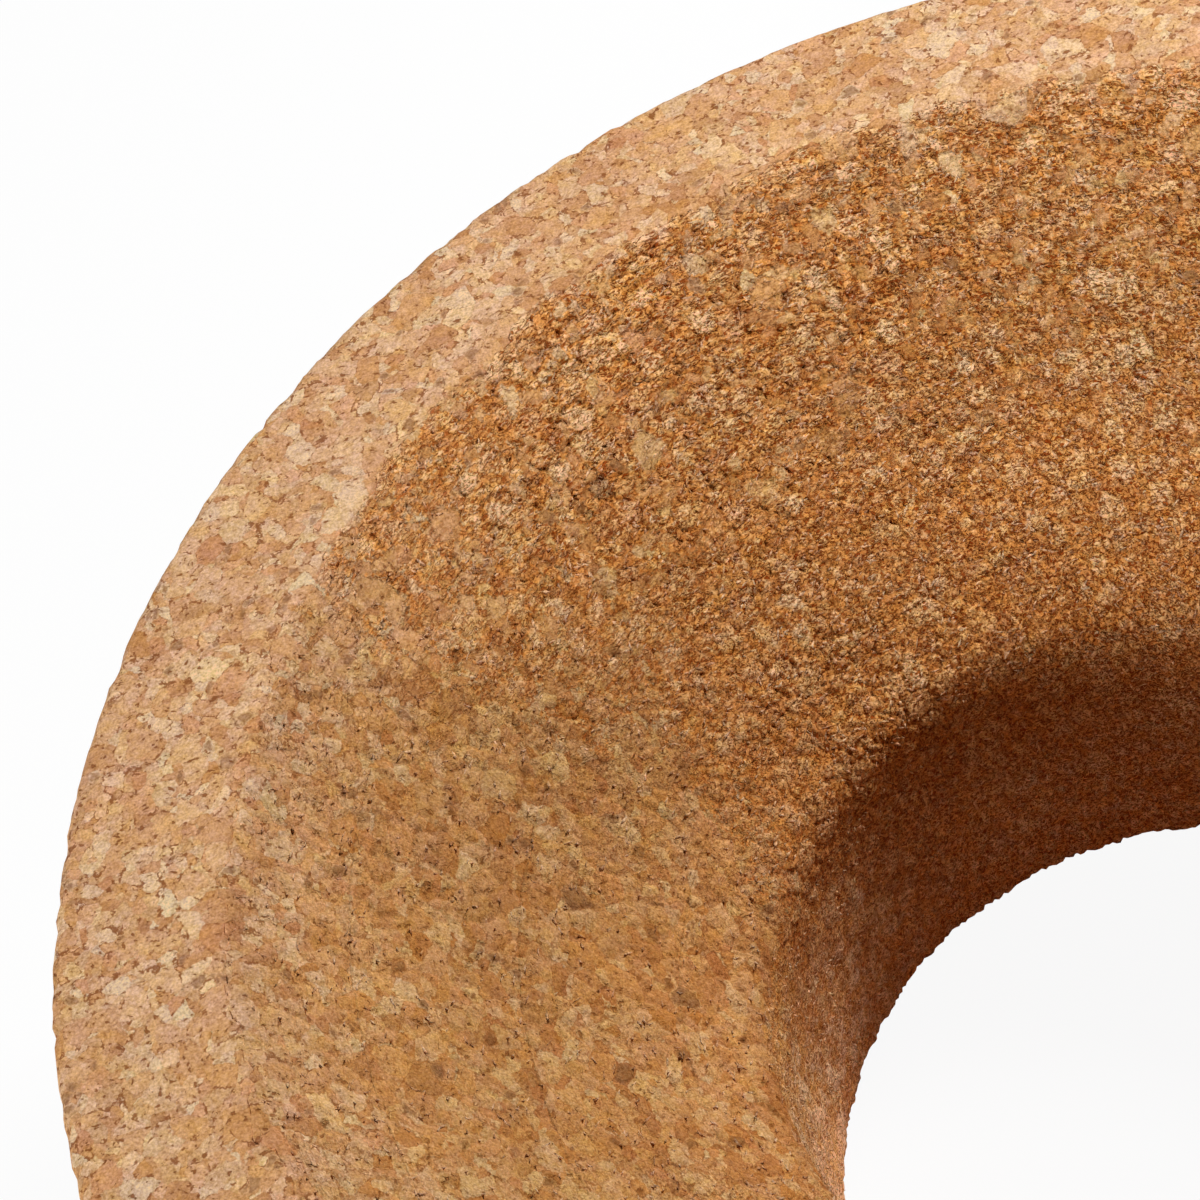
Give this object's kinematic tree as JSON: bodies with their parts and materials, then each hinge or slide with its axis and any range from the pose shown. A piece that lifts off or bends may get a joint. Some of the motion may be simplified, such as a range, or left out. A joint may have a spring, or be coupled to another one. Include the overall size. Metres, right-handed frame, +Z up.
{
  "type": "cork ring",
  "caption": "Thick cork ring with a level rim, a conical seat and a rounded throat over a straight through bore, holding a round-bottomed flask upright.",
  "frame": {"origin": "centre of the ring's bottom face, on its axis", "axes": "+Z up along the ring's axis, with the seat facing up; X and Y lie level and are alike"},
  "size_m": [0.08, 0.08, 0.032],
  "materials": {
    "cork": "agglomerated cork, matt: sanded on the rim and torn by the cutter in the seat and the bore"
  },
  "bodies": {
    "root": {"cork_ring": "cork"}
  },
  "joints": []
}
